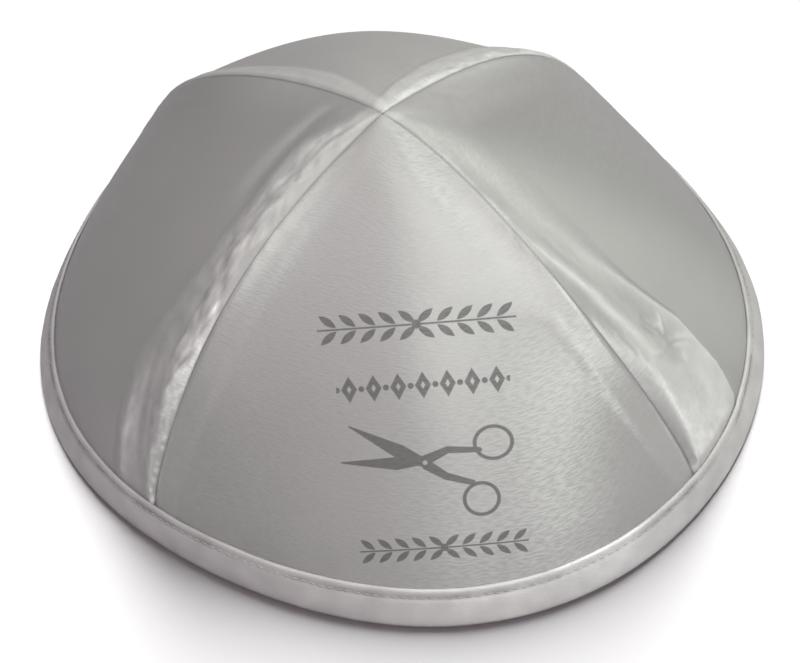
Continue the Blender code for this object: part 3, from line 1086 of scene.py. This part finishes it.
def satin(name, colour, streak, streak_bump, contrast):
    """A satin material over the piece's own map of cloth, and the wires that it is made of."""
    material, wires, shader = new_material(name)
    cloth = wires.node("ShaderNodeUVMap", {"uv_map": "cloth"})
    across, up = (
        wires.node("ShaderNodeSeparateXYZ", (), {"Vector": cloth}, output=side) * (1.0 / MM)
        for side in (0, 1)
    )
    length, thickness = streak
    sway = wires.noise(across / (SWAY_LENGTH * length), up / (SWAY_HEIGHT * thickness), 1.0)
    sway = sway * (SWAY * thickness)
    threads = wires.noise(across / length, (up + sway) / thickness, 3.0)
    mottle = wires.noise(across / MOTTLE_SIZE, up / MOTTLE_SIZE, 2.0)
    weave = threads.step(*WEAVE_EDGES)
    # Tone from layers under the satin, with painted highlights and painted shade
    layers = wires.node("ShaderNodeAttribute", {"attribute_name": "tone_and_painted_light"}, output=2)
    tone = 1.0 + (weave - 0.5) * (WEAVE_TONE * contrast) + (mottle - 0.5) * MOTTLE_TONE
    tone = tone * (1.0 + layers * LAYER_AND_LIGHT_TONE)
    base = wires.node(
        "ShaderNodeVectorMath", {"operation": "SCALE"}, {0: colour[:3], "Scale": tone}
    )
    bump = wires.node(
        "ShaderNodeBump", (), {"Height": weave, "Strength": 1.0, "Distance": streak_bump * MM}
    )
    roughness = ROUGHNESS + (weave - 0.5) * WEAVE_ROUGHNESS
    gloss = SATIN_GLOSS["Metallic"] + (weave - 0.5) * contrast
    set_inputs(shader, SATIN_GLOSS)
    set_inputs(shader, {
        "Normal": bump,
        "Roughness": roughness,
        "Metallic": gloss.within(0.0, 1.0),
        "Base Color": base,
    })
    return material, wires, shader, base, gloss, weave


plain_satin = satin("white_satin", SATIN_COLOUR, *WEAVES["plain"])[0]
print("the plain satin has", len(plain_satin.node_tree.nodes), "nodes")


# %% [markdown]
# The front gore carries a flat grey print. It was pressed on while the gore lay flat, so its
# rows stay straight: they are measured on a plane that leans as the middle of the gore does.
# The drawing is worked out from distances, to tapered strokes for the blades and to rings for
# the bows of an open pair of scissors, and leaf garlands and a row of lozenges stand above and
# below it. A stroke in the shader stays sharp at any size, which a painted picture doesn't.

# %% Print on the front gore
PRINT_MIDDLE = (3.9 * MM, -65.3 * MM, 31.7 * MM)
PRINT_LEAN = math.radians(50.0)
PRINT_EDGE = 0.10
PRINT_TONE = 0.34
INK_COVER, WEAVE_COVER = 0.93, 0.14  # how well the ink covers, and how that varies by the weave
INK_DULLING = 0.6
SCREW_RADIUS = 0.5

# Half length and half width of a leaf, where it stands in its period and over the stem, and how
# far it leans in degrees, then half the stem's width and the berry's radius
LEAF = (1.75, 0.62)
LEAF_PLACE = (0.46, 1.35)
LEAF_LEAN = 38.0
STEM_HALF = 0.16
BERRY_RADIUS = 0.75

# Half width and half height of a lozenge, its slope, the middle and half width of its line
LOZENGE = (1.55, 2.6)
LOZENGE_SLOPE = 1.1
LOZENGE_LINE = (0.34, 0.42)
DOT_RADIUS = 0.62

# Ends in millimetres across and up from the scissors' pivot, and half widths there
STROKES = (
    (-15.2, 8.6, 0.15, -5.0, 2.6, 1.55),
    (-5.0, 2.6, 1.55, 0.8, -0.6, 0.85),
    (-17.4, 1.0, 0.15, -6.0, 0.2, 1.40),
    (-6.0, 0.2, 1.40, 0.8, 0.6, 0.85),
    (0.4, 0.6, 1.10, 4.8, 2.4, 0.75),
    (4.8, 2.4, 0.75, 11.4, 1.9, 0.55),
    (0.4, -0.6, 1.10, 4.2, -3.2, 0.80),
    (4.2, -3.2, 0.80, 9.6, -5.0, 0.60),
)

# Middle across and up, radii across and up, half width of the line
BOWS = (
    (14.4, 3.2, 3.9, 3.4, 0.36),
    (11.2, -8.6, 3.6, 3.4, 0.38),
)


def stroke(across, up, start_across, start_up, start_half, end_across, end_up, end_half):
    """Distance to a stroke that tapers from one end to the other, below 0 inside it."""
    run_across, run_up = end_across - start_across, end_up - start_up
    run = run_across ** 2 + run_up ** 2
    from_start_across, from_start_up = across - start_across, up - start_up
    part = (from_start_across * (run_across / run) + from_start_up * (run_up / run)).within(0.0, 1.0)
    off_across = from_start_across - part * run_across
    off_up = from_start_up - part * run_up
    return off_across.length_with(off_up) - (part * (end_half - start_half) + start_half)


def bow(across, up, middle_across, middle_up, radius_across, radius_up, half):
    """Distance to an oval ring, below 0 on its line."""
    round_across = (across - middle_across) / radius_across
    round_up = (up - middle_up) / radius_up
    off = abs(round_across.length_with(round_up) - 1.0) * min(radius_across, radius_up)
    return off - half


def leaf(across, up, middle_across, middle_up, tilt, size):
    """Distance to one pointed leaf, below 0 inside it."""
    turn = math.radians(tilt)
    right, above = across - middle_across, up - middle_up
    along = (right * math.cos(turn) + above * math.sin(turn)) / (LEAF[0] * size)
    beside = (above * math.cos(turn) - right * math.sin(turn)) / (LEAF[1] * size)
    return (along * along + abs(beside) - 1.0) * (LEAF[1] * size)


def garland(across, up, half_length, period, size):
    """A stem with pairs of leaves that grow from its middle to both ends."""
    out, off = abs(across), abs(up)
    cell = (out / period).maths("FRACT", out / period) * period
    leaves = leaf(cell, off, LEAF_PLACE[0] * period, LEAF_PLACE[1] * size, LEAF_LEAN, size)
    stem = off - STEM_HALF * size
    ends = out - half_length
    berry = out.length_with(up) - BERRY_RADIUS * size
    return leaves.smaller(stem).larger(ends).smaller(berry)


def lozenges(across, up, half_length, period, size):
    """A row of lozenges with a dot between each two."""
    out = abs(across)
    cell = abs((out / period).maths("FRACT", out / period + 0.5) - 0.5) * period
    diamond = (cell / LOZENGE[0] + abs(up) / LOZENGE[1] - size) * LOZENGE_SLOPE
    ring = abs(diamond + LOZENGE_LINE[0]) - LOZENGE_LINE[1]
    dot = (period / 2 - cell).length_with(up) - DOT_RADIUS * size
    return ring.smaller(dot).larger(out - half_length)


# Kind of row, its middle across and up from the scissors' pivot, half length, period and size
PRINTED_ROWS = (
    (garland, 0.4, 28.9, 20.6, 4.1, 1.25),
    (lozenges, 0.8, 16.3, 18.0, 5.1, 1.0),
    (garland, 2.7, -18.6, 17.8, 3.6, 1.08),
)


def printed_satin(name):
    """The plain satin with the print mixed into its colour, its gloss and its roughness."""
    material, *wired = satin(name, SATIN_COLOUR, *WEAVES["printed"])
    wires, shader, base, gloss, weave = wired
    place = wires.node("ShaderNodeTexCoord", output=3)
    from_middle = wires.node(
        "ShaderNodeVectorMath", {"operation": "SUBTRACT"}, {0: place, 1: PRINT_MIDDLE}
    )
    across, up = (
        wires.node(
            "ShaderNodeVectorMath", {"operation": "DOT_PRODUCT"}, {0: from_middle, 1: way}, output=1
        ) * (1.0 / MM)
        for way in ((1.0, 0.0, 0.0), (0.0, math.sin(PRINT_LEAN), math.cos(PRINT_LEAN)))
    )
    shapes = [stroke(across, up, *row) for row in STROKES]
    shapes += [bow(across, up, *row) for row in BOWS]
    for kind, middle_across, middle_up, *row in PRINTED_ROWS:
        shapes.append(kind(across - middle_across, up - middle_up, *row))
    nearest = shapes[0]
    for shape in shapes[1:]:
        nearest = nearest.smaller(shape)
    # The screw is a bare dot in the ink
    screw = across.length_with(up) - SCREW_RADIUS
    nearest = nearest.larger(0.0 - screw)
    ink = nearest.step(PRINT_EDGE, -PRINT_EDGE) * (INK_COVER + (weave - 0.5) * WEAVE_COVER)
    inked = wires.node(
        "ShaderNodeVectorMath", {"operation": "SCALE"}, {0: base, "Scale": PRINT_TONE}
    )
    dulled = (gloss * (1.0 - ink * INK_DULLING)).within(0.0, 1.0)
    set_inputs(shader, {"Base Color": ink.mix(base, inked), "Metallic": dulled})
    return material


front_satin = printed_satin("white_satin_printed")
tape_satin = satin("binding_satin", TAPE_COLOUR, *WEAVES["tape"])[0]
print("the printed satin has", len(front_satin.node_tree.nodes), "nodes")


# %% [markdown]
# The thread is far too thin to show its twist, so fine noise between two greys is enough for it.

# %% Thread
THREAD_GREYS = ((0.36, 0.352, 0.352, 1.0), (0.56, 0.548, 0.548, 1.0))
TWIST_SCALE = 5200.0
THREAD_LOOK = {"Roughness": 0.5, "Sheen Weight": 0.15}


def thread_material(name):
    material, wires, shader = new_material(name)
    place = wires.node("ShaderNodeTexCoord", output=3)
    twist = wires.node(
        "ShaderNodeTexNoise", (), {"Vector": place, "Scale": TWIST_SCALE, "Detail": 1.0}
    )
    set_inputs(shader, {"Base Color": twist.mix(*THREAD_GREYS), **THREAD_LOOK})
    return material


white_thread = thread_material("white_thread")
print("thread is", white_thread.name)


# %% [markdown]
# Now each piece gets its finish, the solid that it stands for is hidden, and it is tied to the body
# it moves with. The cap is one body: cloth folds, but nothing in it turns.

# %% Dress the cap
FAR_BEHIND = 1.0  # metres
ROUND_THE_RIM = 0.1  # metres, more than the rim's radius


def give(piece, material, node):
    piece.data.materials.clear()
    piece.data.materials.append(material)
    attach(piece, "root")
    if node:
        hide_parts(node)


def aim_threads(piece, middle, size):
    """Set the point that the weft runs round, by the texture space of the piece."""
    piece.data.use_auto_texspace = False
    piece.data.texspace_location = (*middle, 0.0)
    piece.data.texspace_size = (size, size, size)


for place, (name, gore) in enumerate(gores.items()):
    give(gore, front_satin if name == "panel_front" else plain_satin, name)
    # From far behind the gore, its weft runs straight
    azimuth = math.radians((seam_after(place)[0] + seam_after(place + 1)[0]) / 2)
    behind = (-FAR_BEHIND * math.cos(azimuth), -FAR_BEHIND * math.sin(azimuth))
    aim_threads(gore, behind, FAR_BEHIND)
give(binding, tape_satin, "rim_binding")
aim_threads(binding, RIM_MIDDLE, ROUND_THE_RIM)
for stitches in (outer_stitches, inner_stitches):
    give(stitches, white_thread, None)
print("dressed", len(gores) + 3, "pieces")


# %% [markdown]
# The camera stands where the photograph's camera stood, worked out from the size of the rim and
# the places of the seams. It looks down at about 53 degrees and leans a little to one side.

# %% Camera
CAMERA_PLACE = Vector((3.375, -258.79, 336.42)) * MM
CAMERA_TARGET = Vector((0.33, -1.69, -7.47)) * MM
CAMERA_ROLL = math.radians(-5.0)
LENS = 78.16
SENSOR_WIDTH = 36.0
NEAREST = 0.01  # metres

bpy.ops.object.camera_add(location=CAMERA_PLACE)
camera = bpy.context.active_object
ahead = (CAMERA_TARGET - CAMERA_PLACE).to_track_quat("-Z", "Y")
camera.rotation_mode = "QUATERNION"
camera.rotation_quaternion = ahead @ Quaternion((0.0, 0.0, 1.0), CAMERA_ROLL)
camera.data.lens = LENS
camera.data.sensor_width = SENSOR_WIDTH
camera.data.clip_start = NEAREST
bpy.context.scene.camera = camera
print("the camera is", round((CAMERA_TARGET - CAMERA_PLACE).length / MM), "mm away")


# %% [markdown]
# A plain pale floor and soft light from round panels. The strongest comes from the right and
# above, so that the left gore falls into shade and the bands beside the seams catch it. These
# panels light the cap alone. The floor has a wide light of its own, high up behind the cap, so
# it stays evenly white and the cap's short soft shadow falls in front, where the camera sees it.

# %% Floor and light
FLOOR_SIZE = 20.0
FLOOR_LOOK = {
    "Base Color": (0.93, 0.93, 0.93, 1.0),
    "Roughness": 0.9,
    "Specular IOR Level": 0.1,
    "Emission Color": (1.0, 1.0, 1.0, 1.0),
    "Emission Strength": 0.02,
}
ROOM_LOOK = {"Color": (1.0, 0.80, 0.92, 1.0), "Strength": 0.09}

floor = new_primitive("floor", bpy.ops.mesh.primitive_plane_add, size=FLOOR_SIZE)
floor_material, _wires, floor_shader = new_material("pale_floor")
set_inputs(floor_shader, FLOOR_LOOK)
floor.data.materials.append(floor_material)
# So bright a floor would fill the shaded side of the cap, so it throws no diffuse light back
floor.visible_diffuse = False

# Azimuth and elevation in degrees, watts and colour of each panel
PANELS = {
    "key_right": (-33.0, 59.0, 4.2, (0.97, 1.0, 0.955)),
    "front": (-85.0, 56.0, 2.32, (0.98, 1.0, 0.955)),
    "left": (-140.0, 62.0, 0.95, (1.0, 0.82, 0.90)),
    "key_back": (34.0, 46.0, 1.45, (0.93, 1.0, 0.85)),
    "back": (100.0, 62.0, 0.46, (0.95, 1.0, 0.92)),
}
PANEL_DISTANCE = 0.9
PANEL_SIZE = 0.35
LIGHT_TARGET = Vector((0.0, 0.0, 0.03))

# Azimuth and elevation in degrees, how wide the sky over the floor is in degrees, and strength
FLOOR_SUN = (84.0, 49.0, 28.0, 4.20)


def add_light(name, kind, azimuth, elevation, energy, pieces):
    """A light that shines on the cap's place from one direction, and on the named pieces alone."""
    turn, rise = math.radians(azimuth), math.radians(elevation)
    way = Vector((math.cos(turn) * math.cos(rise), math.sin(turn) * math.cos(rise), math.sin(rise)))
    bpy.ops.object.light_add(type=kind, location=LIGHT_TARGET + PANEL_DISTANCE * way)
    light = bpy.context.active_object
    light.name = name
    light.rotation_mode = "QUATERNION"
    light.rotation_quaternion = (-way).to_track_quat("-Z", "Y")
    light.data.energy = energy
    light.light_linking.receiver_collection = pieces
    return light.data


def collection_of(name, pieces):
    group = bpy.data.collections.new(name)
    for piece in pieces:
        group.objects.link(piece)
    return group


lit_cap = collection_of("lit_cap", (*gores.values(), binding, outer_stitches, inner_stitches))
for name, (azimuth, elevation, power, colour) in PANELS.items():
    panel = add_light(name, "AREA", azimuth, elevation, power, lit_cap)
    panel.shape = "DISK"
    panel.size = PANEL_SIZE
    panel.color = colour
azimuth, elevation, spread, strength = FLOOR_SUN
lit_floor = collection_of("lit_floor", (floor,))
add_light("over_floor", "SUN", azimuth, elevation, strength, lit_floor).angle = math.radians(spread)

world = bpy.data.worlds.new("pale_room")
world.use_nodes = True
set_inputs(world.node_tree.nodes["Background"], ROOM_LOOK)
bpy.context.scene.world = world
bpy.context.scene.view_settings.view_transform = "Standard"
print("the cap is lit by", len(PANELS), "panels")
